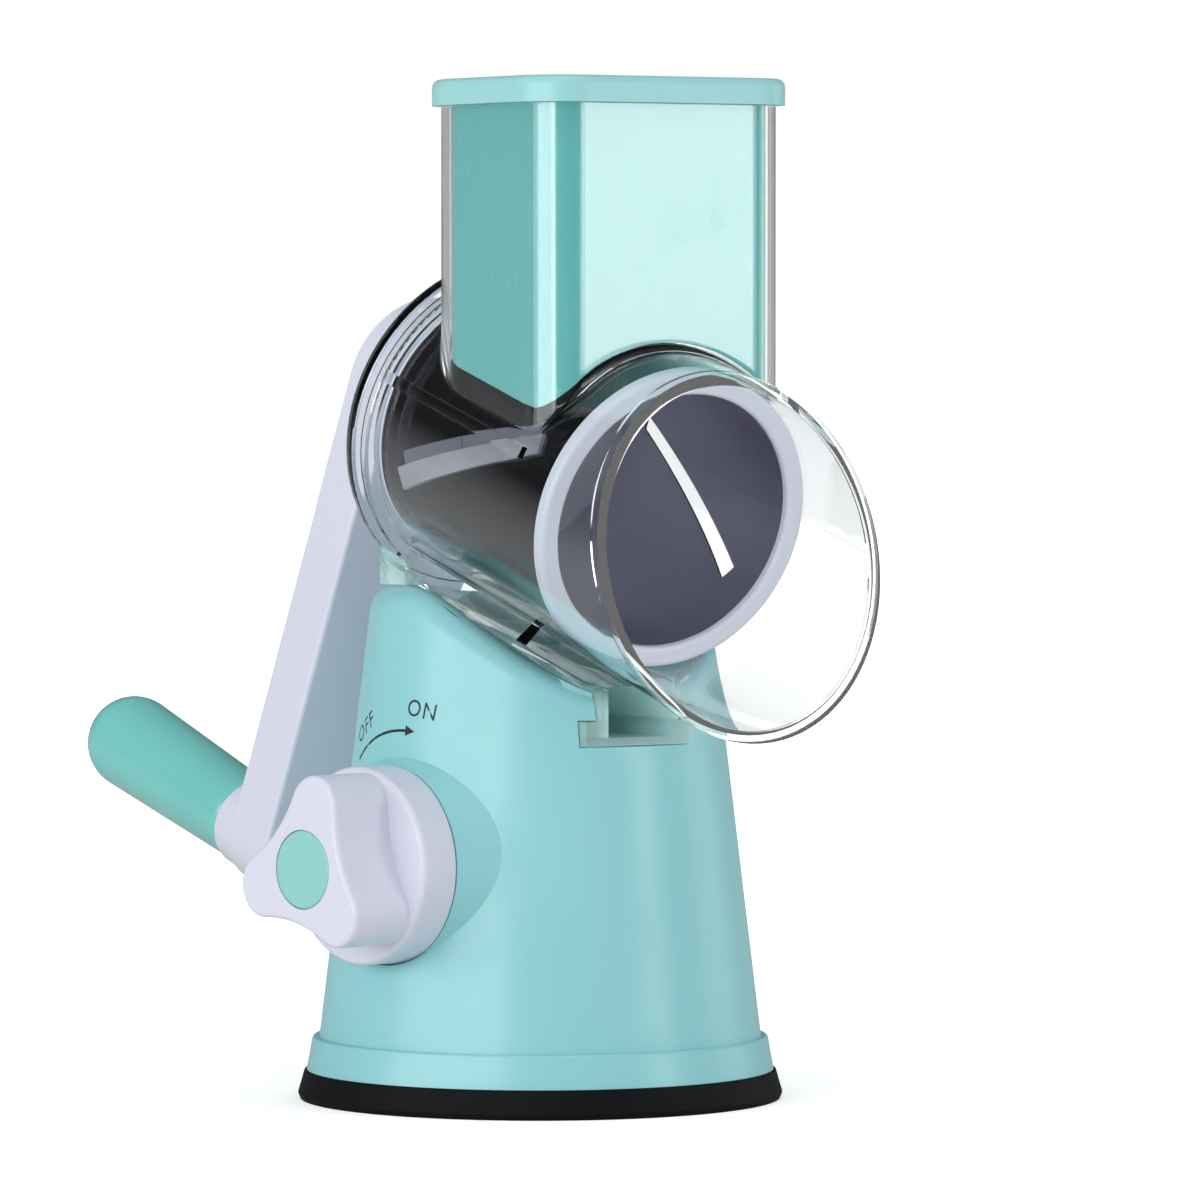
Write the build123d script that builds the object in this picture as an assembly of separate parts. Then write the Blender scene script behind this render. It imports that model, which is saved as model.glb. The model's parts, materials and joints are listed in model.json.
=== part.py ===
"""Hand-cranked drum shredder on a suction foot: every separate piece as its own solid.

Row frame: millimetres, +Z up, origin on the table at the middle of the foot, outlet towards -Y.
"""
from build123d import *
import math
import os

# ---- driving dimensions (mm, degrees) ----
DRUM_TILT = 15.8            # the drum's axis runs down towards the outlet
AXIS_Y, AXIS_Z = -70.5, 164.0   # middle of the drum's front face
SHELL_R = 39.2              # steel shell, outside
SHELL_WALL = 0.7
DRUM_BACK = -93.0           # rear end of the shell, along the axis from the front face
RING_R = 42.0               # plastic ring at the shell's mouth
RING_LENGTH = 4.5
RING_BORE = 36.3
RING_LIP = 2.5              # how far the ring stands in front of the shell
BOSS_R = 15.5               # rear boss of the drum, held in the crank
BOSS_END = -131.0
BOSS_BORE = 12.5
LATCH_S = -123.5            # where the latch meets the boss
WINDOW = 6.4                # square latch window
HUB_FACE, HUB_RIB_TOP = -89.4, -86.5    # front of the end plate and of its ribs
HUB_RIBS = 6
RIB_HALF = 0.9              # half thickness of the moulded ribs

SLOT_WIDTH = 5.4            # slicing slots in the shell
SLOT_LENGTH = 66.0
SLOT_SLANT = 24.0
LIP_RISE = 1.1              # raised cutting lip beside each slot
LIP_WIDTH = 5.8
LIP_OVERLAP = 1.2           # the cutting edge reaches this far over the slot
SLOT_MIDDLES = ((-50.5, 169), (-48.5, -12))     # place along the axis, angle round it

TUBE_R = 44.5               # clear housing, outside, at its rear end
TUBE_FLARE = 0.002          # growth of that radius per mm towards the outlet
TUBE_WALL = 2.0
TUBE_END = 62.0             # the tube is drawn this far and cut by the mouth's plane
WALL_BACK, WALL_FRONT = -98.5, -96.1    # rear wall of the housing
FLANGE_R = 49.0
FLANGE_FRONT, GROOVE_FRONT, BAND_FRONT = -93.6, -92.6, -89.4    # flange, dark groove, narrow band
GROOVE_R, BAND_R = 46.4, 47.3
MOUTH_POINT = (0, -102.4, 155.0)        # middle of the slanted outlet
MOUTH_LEAN = 10.1           # the outlet's plane leans back at its top
MOUTH_BEAD = 0.9            # how far the bead at the mouth stands proud
MOUTH_DEPTH = 3.2
TRACK_ANGLE = 20.0          # moulded rails on the housing's shoulders, above the horizontal
TRACK_HALF, TRACK_RISE = 1.7, 1.9
TRACK_SPAN = (-90.0, -16.0)
JUNCTION_FILLET = 4.0       # where the hopper meets the tube

HOPPER_X = 40.0             # half width of the hopper, outside
HOPPER_FRONT, HOPPER_BACK = -68.0, 5.0
FRONT_CORNER, BACK_CORNER = 12.0, 24.0      # radii of its upright corners
HOPPER_WALL = 2.2
HOPPER_FLOOR, HOPPER_TOP = 176.0, 278.7
PUSHER_GAP = 0.6            # pusher to hopper, each side
PUSHER_WALL = 2.0
PUSHER_SADDLE = 45.8        # radius of the pusher's foot about the drum's axis
CAP_BASE, CAP_TOP = 279.0, 286.3
CAP_OVERHANG = 2.6
CAP_FILLET = 2.4
CAP_SPIGOT = 6.0            # depth of the cap's rim inside the pusher

FOOT_R, PAD_HEAD_R = 68.5, 66.6         # rubber pad at its widest and at its top
PAD_TOP = 8.2
PAD_WEB = (2.6, 4.8)        # underside and top of its thin web
RING_TOP = 17.6             # lower ring of the base
RING_FLOOR = (14.0, 16.6)
GUIDE_TOP = 30.0            # top of the stem's guide
RING_FOOT_R, RING_HEAD_R = 66.0, 64.3
BASE_FOOT_R, BASE_HEAD_R = 62.4, 47.2
BASE_TOP = 145.0
BASE_WALL = 2.6
HEAD_CORNER, HEAD_FILLET = 8.0, 6.0     # roundings of the base's head
SADDLE_R = 53.5             # saddle cut in the base's head, about the drum's axis
KEEL_R = 53.0               # the housing's keel that lies in the saddle
KEEL_HALF_ANGLE = 38.0
GROOVE_X, GROOVE_Z = 18.0, (101.5, 109.0)   # wide part of the T groove in the base's front
NECK_X = 13.0               # half width of the groove's neck
GROOVE_BACK = 8.0
GROOVE_WALL = 2.4
RAIL_GAP = 0.4              # T rail to groove, each side
RAIL_FRONT = -52.2
SCREW_CIRCLE = 50.0         # radius on which the four base screws lie
SCREW_R, SCREW_HEAD_R = 1.6, 3.7
SCREW_BOSS_R = 4.2

LOCK_Z = 68.6               # height of the lock's shaft
LOCK_TURN = 11.3            # the knob's axis points this far forward of square to the side
KNOB_R = 27.5
KNOB_BACK, KNOB_STEP, KNOB_FACE = 57.8, 69.8, 89.8   # distances out along the shaft
KNOB_WALL = 2.4
KNOB_CLEAR = 0.6            # knob to base, behind it and round it
SEAT_START, SEAT_SLOPE = 20.0, 2.2      # the drafted seat behind the knob
CAP_R, CAP_DEPTH = 11.0, 1.6
KNOB_SCREW_R, KNOB_SCREW_HEAD_R = 1.5, 4.0
LOBE_R, LOBE_CENTRE = 9.0, 17.5
LOBE_PHASE = 77.0
WAIST_R = 15.5
SHAFT_R = 5.5
SHAFT_FLAT = 4.0            # flat on the shaft for the knob
SHAFT_END = 78.0
BUSH_R = 8.5
BUSH_BACK, BUSH_FLANGE = 20.6, 22.0
CLIP_GROOVE = (18.4, 19.8)
PIN_R, PIN_THROW = 4.0, 3.0     # eccentric that lifts the stem
STEM_R = 4.0
STEM_GUIDE_R = 4.05
FOOT_BASE, FOOT_TOP = 6.7, 8.9      # the stem's foot, in the pad's socket
FOOT_DISC_R, FOOT_SOCKET_R = 8.1, 8.4
RUNNING_GAP = 0.05

ARM_TURN = 12.5             # the crank hangs this far from straight down
ARM_LENGTH = 140.4
ARM_HUB_R, ARM_END_R = 26.0, 14.0
ARM_FRONT, ARM_BACK = -117.5, -137.5
ARM_WALL = 2.5
HUB_FRONT = -100.4          # front end of the crank's socket
SOCKET_R = 18.0
COLLAR_END = -149.0         # collar between the arm and the grip
AXLE_R = 3.0
GRIP_START, GRIP_TIP = -149.4, -236.5
GRIP_NECK_R, GRIP_TIP_R = 12.4, 14.4
LATCH_TRAVEL = 3.2
LATCH_HALF = 1.6            # half thickness of the latch's frame
ARM_RIBS = (52, 72, 92, 112)
COVER_SCREW = (27.5, 15.5)  # place of the cover's screws, beside the arm's middle line
GRIP_CLIP_GROOVE = (-209.4, -208.2)
SMALL_EDGE, SOFT_EDGE = 0.8, 1.4        # radii of moulded edges

# ---- frames ----
tilt = math.radians(DRUM_TILT)
lock_angle = math.radians(LOCK_TURN)
arm_angle = math.radians(ARM_TURN)
forward = Vector(0, -math.cos(tilt), -math.sin(tilt))
up_slope = Vector(0, -math.sin(tilt), math.cos(tilt))
lock_out = Vector(-math.cos(lock_angle), -math.sin(lock_angle), 0)
arm_down = Vector(-1, 0, 0) * math.sin(arm_angle) - up_slope * math.cos(arm_angle)

DRUM = Plane(origin=(0, AXIS_Y, AXIS_Z), x_dir=(1, 0, 0), z_dir=forward)
LOCK = Plane(origin=(0, 0, LOCK_Z), x_dir=Vector(0, 0, 1).cross(lock_out), z_dir=lock_out)
CRANK = Plane(origin=(0, AXIS_Y, AXIS_Z), x_dir=arm_down, z_dir=forward)

FROM_BOTTOM = (Align.CENTER, Align.CENTER, Align.MIN)
FAR = 200.0


# ---- building blocks ----
def outline(*corners):
    """Closed face through corners given as (x, y, fillet radius)."""
    points = [(x, y) for x, y, _ in corners]
    radii = [radius for _, _, radius in corners]
    return make_face(FilletPolyline(*points, radius=radii, close=True))


def turned(*corners):
    """Solid of revolution about local Z, from (radius, height, fillet radius) corners."""
    return revolve(Plane.XZ * outline(*corners), Axis.Z)


def rod(radius, low, high, x=0.0, y=0.0):
    """Round bar along local Z."""
    return Pos(x, y, low) * Cylinder(radius, high - low, align=FROM_BOTTOM)


def tube(outer, inner, low, high):
    """Round tube along local Z."""
    return rod(outer, low, high) - rod(inner, low - 1, high + 1)


def block(x, y, z):
    """Box from three (low, high) pairs."""
    size = [high - low for low, high in (x, y, z)]
    middle = [(high + low) / 2 for low, high in (x, y, z)]
    return Pos(*middle) * Box(*size)


def hopper_block(inset, low, high):
    """Upright prism of the hopper's outline, shrunk by inset; its back corners are the rounder ones."""
    half = HOPPER_X - inset
    front, back = HOPPER_FRONT + inset, HOPPER_BACK - inset
    face = outline((-half, front, FRONT_CORNER - inset), (half, front, FRONT_CORNER - inset),
                   (half, back, BACK_CORNER - inset), (-half, back, BACK_CORNER - inset))
    return extrude(Pos(0, 0, low) * face, high - low)


def teardrop(hub_r, end_r, low, high):
    """Prism whose outline wraps a large circle at the hub and a small one at the arm's end."""
    rims = Circle(hub_r).edges() + (Pos(ARM_LENGTH, 0) * Circle(end_r)).edges()
    return extrude(Pos(0, 0, low) * make_hull(rims), high - low)


def write(name, shape):
    """Write one node."""
    export_step(shape, f"parts/{name}.step")


# ---- base ----
def base_cone(inset, top, corner):
    """The base's cone, shrunk by inset and closed at the given height."""
    return turned((0, RING_TOP, 0), (BASE_FOOT_R - inset, RING_TOP, 0),
                  (BASE_HEAD_R - inset, top, corner), (0, top, 0))


def lock_seat(inset):
    """Drafted boss behind the knob, shrunk by inset."""
    face = KNOB_BACK - KNOB_CLEAR - inset
    spread = (face - SEAT_START) / SEAT_SLOPE
    boss = Cone(KNOB_R - inset + spread, KNOB_R - inset, face - SEAT_START, align=FROM_BOTTOM)
    return LOCK * (Pos(0, 0, SEAT_START) * boss)


def base_outside():
    """Outer form of the base: cone with a rounded saddle head and the knob's seat."""
    cone = base_cone(0, BASE_TOP, HEAD_CORNER)
    saddle = DRUM * rod(SADDLE_R, -FAR, FAR)
    hull = cone - saddle
    rim = [edge for edge in new_edges(cone, saddle, combined=hull) if edge.center().Z > BASE_TOP - 0.5]
    knob_room = LOCK * rod(KNOB_R + KNOB_CLEAR, KNOB_BACK - KNOB_CLEAR, FAR)
    return fillet(rim, HEAD_FILLET) + lock_seat(0) - knob_room


def base_room():
    """Hollow inside the base, a wall's thickness in from the outside."""
    saddle_under = DRUM * rod(SADDLE_R + BASE_WALL, -FAR, FAR)
    room = base_cone(BASE_WALL, BASE_TOP - BASE_WALL, HEAD_CORNER - BASE_WALL) - saddle_under
    room += lock_seat(BASE_WALL)
    return room - LOCK * rod(KNOB_R + BASE_WALL, KNOB_BACK - KNOB_CLEAR - BASE_WALL, FAR)


def make_base_body():
    """Hollow cone with a saddle head, a T groove for the housing and a seat for the lock."""
    body = base_outside() - base_room()

    head = base_cone(1, BASE_TOP - 1, 3) - DRUM * rod(SADDLE_R, -FAR, FAR)
    cheek_x = GROOVE_X + GROOVE_WALL
    cheeks = block((-cheek_x, cheek_x), (-FAR, GROOVE_BACK + GROOVE_WALL),
                   (GROOVE_Z[0] - GROOVE_WALL, BASE_TOP))
    body += cheeks & head
    body -= block((-GROOVE_X, GROOVE_X), (-FAR, GROOVE_BACK), GROOVE_Z)
    body -= block((-NECK_X, NECK_X), (-FAR, GROOVE_BACK), (GROOVE_Z[0], BASE_TOP))

    bush_wall = 2.6
    body += LOCK * tube(BUSH_R + bush_wall, BUSH_R, BUSH_FLANGE, KNOB_BACK - 1)
    body -= LOCK * rod(BUSH_R, BUSH_FLANGE - 1, FAR)
    for angle in (0, 90, 180):
        gusset = block((BUSH_R + 2, KNOB_R - 1), (-RIB_HALF, RIB_HALF), (42, KNOB_BACK - 2))
        body += LOCK * (Rot(0, 0, angle) * gusset)
    boss_top, pilot_top = 44, 36
    inside = base_cone(1, BASE_TOP - 1, 3)
    for place in screw_places():
        boss = place * rod(SCREW_BOSS_R, RING_TOP - 1, boss_top)
        web = place * block((0, 14), (-RIB_HALF, RIB_HALF), (RING_TOP + 3, boss_top - 4))
        body += (boss + web) & (inside + place * rod(SCREW_BOSS_R, RING_TOP - 1, boss_top - 14))
        body -= place * rod(SCREW_R, RING_TOP - 2, pilot_top)
    return body


def screw_places():
    """The four screw centres, turned so that none lies under the lock's shaft."""
    return [Rot(0, 0, 45 + 90 * turn) * Pos(SCREW_CIRCLE, 0, 0) for turn in range(4)]


def make_base_ring():
    """Lower ring that clamps the pad, with a pierced floor and the stem's guide."""
    rim_wall, floor_edge, guide_wall = 6.3, 5.5, 4.0
    low, high = RING_FLOOR
    guide_out = STEM_R + guide_wall
    ring = turned((FOOT_R - 8, PAD_TOP, 0), (RING_FOOT_R, PAD_TOP, 0), (RING_HEAD_R, RING_TOP, SMALL_EDGE),
                  (RING_HEAD_R - rim_wall, RING_TOP, 0), (RING_HEAD_R - rim_wall, high, 0),
                  (guide_out, high, 0), (guide_out, GUIDE_TOP, 0),
                  (STEM_GUIDE_R, GUIDE_TOP, 0), (STEM_GUIDE_R, low, 0), (RING_FOOT_R - floor_edge, low, 0))
    spokes, hole_r, hole_circle = 8, 6.5, 28
    gusset = Polyline((guide_out - 1, high - 0.5), (20, high - 0.5), (guide_out - 1, GUIDE_TOP - 3), close=True)
    for turn in range(spokes):
        turned_by = 360 / spokes * turn
        ring += Rot(0, 0, turned_by + 180 / spokes) * extrude(Plane.XZ * make_face(gusset), RIB_HALF, both=True)
        ring -= Rot(0, 0, turned_by) * rod(hole_r, 0, 20, hole_circle)
    for place in screw_places():
        ring -= place * rod(SCREW_R + 0.5, 0, GUIDE_TOP)
    return ring


def make_suction_pad():
    """Rubber cup: a flared lip on the table, a thin web and a socket for the stem's foot."""
    web_low, web_high = PAD_WEB
    rim_inner, lip_inner, socket_out = 56, 60.5, 11.5
    return turned((0, web_low, 0), (rim_inner, web_low, 0), (lip_inner, 0, 0), (FOOT_R - 0.7, 0, 0),
                  (FOOT_R, 1.6, SMALL_EDGE), (PAD_HEAD_R, PAD_TOP, 0.6), (rim_inner, PAD_TOP, 0),
                  (rim_inner - 1.5, web_high, 0), (socket_out, web_high, 0), (socket_out, 9.2, 0),
                  (FOOT_SOCKET_R, 9.2, 0), (FOOT_SOCKET_R, FOOT_BASE - 0.1, 0), (0, FOOT_BASE - 0.1, 0))


def make_base_screws():
    """Four pan-head screws, driven up through the ring's floor."""
    head_low, head_high, tip, recess = RING_FLOOR[0] - 2.4, RING_FLOOR[0], 33, 1.2
    arm, half = 2.2, 0.4
    screw = rod(SCREW_HEAD_R, head_low, head_high) + rod(SCREW_R, head_high, tip)
    for across in ((arm, half), (half, arm)):
        screw -= block((-across[0], across[0]), (-across[1], across[1]), (0, head_low + recess))
    return Compound([place * screw for place in screw_places()])


def make_lock_bush():
    """Flanged bush that carries the lock's shaft."""
    bore, flange_r, end = SHAFT_R + RUNNING_GAP, 10.9, 56.4
    return LOCK * (tube(BUSH_R, bore, BUSH_BACK, end) + tube(flange_r, bore, BUSH_BACK, BUSH_FLANGE))


# ---- lock ----
def d_rod(low, high):
    """Shaft bar with its flat."""
    return rod(SHAFT_R, low, high) - block((SHAFT_FLAT, FAR), (-FAR, FAR), (KNOB_BACK, FAR))


def make_lock_shaft():
    """Shaft with an eccentric pin at its inner end and a flat for the knob."""
    pin_at = -PIN_THROW * math.cos(math.radians(45))
    cheek_r, pin_half, cheek_end, bolt_depth = 9.0, 7.0, 9.5, 16
    shaft = rod(PIN_R, 1 - pin_half, pin_half, pin_at, pin_at)
    shaft += rod(cheek_r, pin_half - 0.5, cheek_end)
    shaft += d_rod(cheek_end - 0.5, SHAFT_END)
    shaft -= tube(SHAFT_R + 1, SHAFT_R - SMALL_EDGE, *CLIP_GROOVE)
    return LOCK * (shaft - rod(KNOB_SCREW_R, SHAFT_END - bolt_depth, FAR))


def lobed_face():
    """Grip section: three round lobes joined by hollow sides that meet them smoothly."""
    depth = WAIST_R - LOBE_R
    scallop_centre = (LOBE_CENTRE ** 2 - depth ** 2) / (LOBE_CENTRE - 2 * depth)
    arcs = []
    for turn in range(3):
        angle = LOBE_PHASE + 120 * turn
        lobe = Vector(LOBE_CENTRE, 0).rotate(Axis.Z, angle)
        tip = Vector(LOBE_CENTRE + LOBE_R, 0).rotate(Axis.Z, angle)
        before = Vector(scallop_centre, 0).rotate(Axis.Z, angle - 60)
        after = Vector(scallop_centre, 0).rotate(Axis.Z, angle + 60)
        following = Vector(LOBE_CENTRE, 0).rotate(Axis.Z, angle + 120)
        waist = Vector(WAIST_R, 0).rotate(Axis.Z, angle + 60)
        start = lobe + (before - lobe).normalized() * LOBE_R
        end = lobe + (after - lobe).normalized() * LOBE_R
        beyond = following + (after - following).normalized() * LOBE_R
        arcs += [ThreePointArc(start, tip, end), ThreePointArc(end, waist, beyond)]
    return make_face(arcs)


def make_lock_knob():
    """Round skirt with a three-lobed grip, hollow behind, and a pocket for its cap."""
    skirt = turned((0, KNOB_BACK, 0), (KNOB_R, KNOB_BACK, 0), (KNOB_R, KNOB_STEP, 1.6), (0, KNOB_STEP, 0))
    root = 4
    grip = extrude(Pos(0, 0, KNOB_STEP - root) * lobed_face(), KNOB_FACE - KNOB_STEP + root)
    grip = fillet(grip.faces().sort_by(Axis.Z)[-1].edges(), SOFT_EDGE)
    hub_r = 9.5
    hollow = tube(KNOB_R - KNOB_WALL, hub_r, KNOB_BACK - 1, KNOB_STEP - KNOB_WALL)
    for turn in range(3):
        hollow -= Rot(0, 0, LOBE_PHASE + 120 * turn) * block((5, KNOB_R), (-1, 1), (0, FAR))
    knob = skirt + grip - hollow
    knob -= rod(SHAFT_R, 0, SHAFT_END) - block((SHAFT_FLAT, FAR), (-FAR, FAR), (0, FAR))
    knob -= rod(KNOB_SCREW_R + 0.3, 0, FAR)
    knob -= rod(KNOB_SCREW_HEAD_R + 0.4, KNOB_FACE - 6, FAR)
    return LOCK * (knob - rod(CAP_R, KNOB_FACE - CAP_DEPTH, FAR))


def make_knob_cap():
    """Coloured disc that hides the knob's screw."""
    low, high, edge_r = KNOB_FACE - CAP_DEPTH, KNOB_FACE + 0.1, CAP_R - 0.1
    return LOCK * turned((0, low, 0), (edge_r, low, 0), (edge_r, high, SMALL_EDGE), (0, high, 0))


def make_knob_screw():
    """Screw that pulls the knob onto the shaft."""
    seat, head_top, tip = KNOB_FACE - 6, KNOB_FACE - 3, 64
    screw = rod(KNOB_SCREW_HEAD_R, seat, head_top) + rod(KNOB_SCREW_R, tip, seat)
    return LOCK * (screw - block((-3, 3), (-0.5, 0.5), (head_top - 1, FAR)))


def make_shaft_clip():
    """Open ring in the shaft's groove, behind the bush."""
    low, high = CLIP_GROOVE
    ring = tube(8.2, SHAFT_R - SMALL_EDGE, low + 0.2, high - 0.2)
    return LOCK * (ring - block((-2.6, 2.6), (0, FAR), (0, FAR)))


def make_lift_stem():
    """Slotted head round the eccentric, a round stem and a foot in the pad's socket."""
    near = PIN_THROW * math.cos(math.radians(45))
    side_gap, lift_gap, half = 0.2, 0.15, 3.6
    slot_x = (-PIN_THROW - PIN_R - side_gap, -near + PIN_R + side_gap)
    slot_y = (-near - PIN_R - lift_gap, -near + PIN_R + lift_gap)
    head = extrude(Pos(-1.2, -near, -half) * RectangleRounded(20, 16, 4), 2 * half)
    neck = block((-STEM_R, STEM_R), (-20, -near - 6), (-half, half))
    slot_face = Pos(sum(slot_x) / 2, sum(slot_y) / 2, -5) * RectangleRounded(
        slot_x[1] - slot_x[0], slot_y[1] - slot_y[0], 3.9)
    top = LOCK * (head + neck - extrude(slot_face, 10))
    return top + rod(STEM_R, FOOT_TOP - 1, LOCK_Z - 12) + rod(FOOT_DISC_R, FOOT_BASE, FOOT_TOP)


# ---- housing ----
def tube_radius(s):
    """Outside radius of the housing's tube at a place along the axis."""
    return TUBE_R + TUBE_FLARE * (s - WALL_FRONT)


def tube_profile(inset, start, end):
    """Flared round bar along the axis, shrunk by inset."""
    return turned((0, start, 0), (tube_radius(start) - inset, start, 0),
                  (tube_radius(end) - inset, end, 0), (0, end, 0))


def keel_sector(half_angle, low, high):
    """Wedge below the drum's axis, for cutting the keel out of a round bar."""
    reach = FAR * math.tan(math.radians(half_angle))
    wedge = outline((0, 0, 0), (-reach, -FAR, 0), (reach, -FAR, 0))
    return extrude(Pos(0, 0, low) * wedge, high - low)


def housing_tube():
    """Tube and hopper, joined by a fillet and cut off at the slanted mouth, with a bead round it."""
    mouth = Plane(origin=MOUTH_POINT, x_dir=(1, 0, 0),
                  z_dir=(0, -math.cos(math.radians(MOUTH_LEAN)), math.sin(math.radians(MOUTH_LEAN))))
    pipe = DRUM * tube_profile(0, WALL_BACK, TUBE_END)
    hopper = hopper_block(0, HOPPER_FLOOR, HOPPER_TOP)
    joined = pipe + hopper
    joined = fillet(new_edges(pipe, hopper, combined=joined), JUNCTION_FILLET)
    bead = DRUM * tube_profile(-MOUTH_BEAD, 0, TUBE_END)
    joined += bead & mouth * block((-FAR, FAR), (-FAR, FAR), (-MOUTH_DEPTH, 0))
    return joined - mouth * block((-FAR, FAR), (-FAR, FAR), (0, FAR))


def housing_flange():
    """Rear flange, with a groove and a narrow band in front of it, and the rear wall."""
    hole, wall_r = 19, 42
    return DRUM * turned((hole, WALL_BACK, 0), (FLANGE_R, WALL_BACK, 1.2), (FLANGE_R, FLANGE_FRONT, 1.0),
                         (GROOVE_R, FLANGE_FRONT, 0), (GROOVE_R, GROOVE_FRONT, 0), (BAND_R, GROOVE_FRONT, 0),
                         (BAND_R, BAND_FRONT, SMALL_EDGE), (wall_r, BAND_FRONT, 0), (wall_r, WALL_FRONT, 0),
                         (hole, WALL_FRONT, 0))


def housing_foot():
    """Keel in the base's saddle, the stand behind it and the T rail in the base's groove."""
    keel_span = (-97, 4)
    keel = DRUM * (rod(KEEL_R, *keel_span) & keel_sector(KEEL_HALF_ANGLE, *keel_span))
    stand_x, stand_y, stand_wall = 41, (5.5, 19.5), 2.2
    foot = keel & (base_cone(0.1, 150, 0) + block((-FAR, FAR), (0, 46), (140, FAR)))
    foot += block((-stand_x, stand_x), stand_y, (BASE_TOP + 0.3, 186)) - DRUM * rod(KEEL_R - 1, -FAR, FAR)
    foot -= block((-stand_x + stand_wall, stand_x - stand_wall),
                  (stand_y[0] + stand_wall, stand_y[1] - stand_wall), (0, 170)) - DRUM * rod(KEEL_R, -FAR, FAR)
    rail_y = (RAIL_FRONT, GROOVE_BACK - RAIL_GAP)
    low = GROOVE_Z[0] + RAIL_GAP
    rail = block((-GROOVE_X + RAIL_GAP, GROOVE_X - RAIL_GAP), rail_y, (low, GROOVE_Z[1] - RAIL_GAP))
    web = block((-NECK_X + RAIL_GAP, NECK_X - RAIL_GAP), rail_y, (low, 135))
    return foot + (rail + web - DRUM * rod(KEEL_R - 2, -FAR, FAR))


def housing_hollows():
    """What is open inside the housing: tube, keel, T rail's web, hopper and the hub's hole."""
    keel_wall, draft = 2.2, 2.6
    keel_room = DRUM * ((rod(KEEL_R - keel_wall, -93, 20) - tube_profile(0, -FAR, FAR))
                        & keel_sector(KEEL_HALF_ANGLE - draft, -FAR, FAR))
    web_room = block((-NECK_X + 2.6, NECK_X - 2.6), (RAIL_FRONT - 1, GROOVE_BACK - 3),
                     (GROOVE_Z[0] + RAIL_GAP + keel_wall, 118))
    bore = DRUM * tube_profile(TUBE_WALL, WALL_FRONT, 70)
    hopper = hopper_block(HOPPER_WALL, HOPPER_FLOOR, HOPPER_TOP + 20)
    return [bore, keel_room, web_room, hopper, DRUM * rod(19, -FAR, -90)]


def make_drum_housing():
    """Clear housing: tube, slanted mouth, hopper, keel, T rail, stand and rear wall."""
    shell = housing_tube() + housing_flange() + housing_foot()
    track = block((TUBE_R - 1, TUBE_R + TRACK_RISE), (-TRACK_HALF, TRACK_HALF), TRACK_SPAN)
    for side in (TRACK_ANGLE, 180 - TRACK_ANGLE):
        shell += DRUM * (Rot(0, 0, side) * track)
    for hollow in housing_hollows():
        shell -= hollow
    return shell


def make_rear_bush():
    """Wear ring in the housing's rear wall, in which the drum's boss turns."""
    bore = BOSS_R + RUNNING_GAP
    flange_r, flange_back = 22, WALL_BACK - 1.5
    return DRUM * (tube(19, bore, WALL_BACK, -94.6) + tube(flange_r, bore, flange_back, WALL_BACK))


# ---- pusher ----
def make_pusher_body():
    """Hollow pusher with a saddle foot that follows the drum."""
    inset = HOPPER_WALL + PUSHER_GAP
    under = 150
    outer = hopper_block(inset, under, CAP_BASE) - DRUM * rod(PUSHER_SADDLE, -FAR, FAR)
    inner = hopper_block(inset + PUSHER_WALL, under, CAP_BASE + 1)
    inner -= DRUM * rod(PUSHER_SADDLE + PUSHER_WALL, -FAR, FAR)
    return (outer - inner).solids().sort_by(Axis.Z)[-1]


def make_pusher_cap():
    """Lid that closes the pusher and rests on the hopper's rim."""
    plate = hopper_block(-CAP_OVERHANG, CAP_BASE, CAP_TOP)
    plate = fillet(plate.faces().sort_by(Axis.Z)[-1].edges(), CAP_FILLET)
    inset, spigot_wall = HOPPER_WALL + PUSHER_GAP + PUSHER_WALL, 1.8
    spigot = hopper_block(inset, CAP_BASE - CAP_SPIGOT, CAP_BASE)
    room = hopper_block(inset + spigot_wall, CAP_BASE - CAP_SPIGOT - 1, CAP_TOP - CAP_FILLET)
    return plate + spigot - room


# ---- drum ----
def slot_frames():
    """Middle of each slicing slot: radial outwards is local X, the slot runs along local Z."""
    return [Pos(0, 0, s) * Rot(0, 0, angle) * Rot(SLOT_SLANT, 0, 0) for s, angle in SLOT_MIDDLES]


def make_drum_shell():
    """Steel shell with two slanted slots."""
    shell = tube(SHELL_R, SHELL_R - SHELL_WALL, DRUM_BACK, -RING_LIP)
    for frame in slot_frames():
        shell -= frame * block((10, 60), (-SLOT_WIDTH / 2, SLOT_WIDTH / 2),
                               (-SLOT_LENGTH / 2, SLOT_LENGTH / 2))
    return DRUM * shell


def make_slicing_blades():
    """Two curved blades that lie on the shell beside the slots and reach over their edges."""
    skin = tube(SHELL_R + LIP_RISE, SHELL_R, DRUM_BACK, 0)
    edge = SLOT_WIDTH / 2 - LIP_OVERLAP
    half = SLOT_LENGTH / 2 + 2
    strips = [frame * block((10, 60), (edge, edge + LIP_WIDTH), (-half, half)) for frame in slot_frames()]
    return Compound([DRUM * (skin & strip) for strip in strips])


def make_drum_ring():
    """Plastic ring at the drum's mouth; the shell's end sits in its groove."""
    return DRUM * turned((SHELL_R, -RING_LENGTH, 0), (RING_R, -RING_LENGTH, SMALL_EDGE),
                         (RING_R, 0, 1.6), (RING_BORE, 0, 1.2), (RING_BORE, -RING_LIP, 0),
                         (SHELL_R, -RING_LIP, 0))


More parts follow.
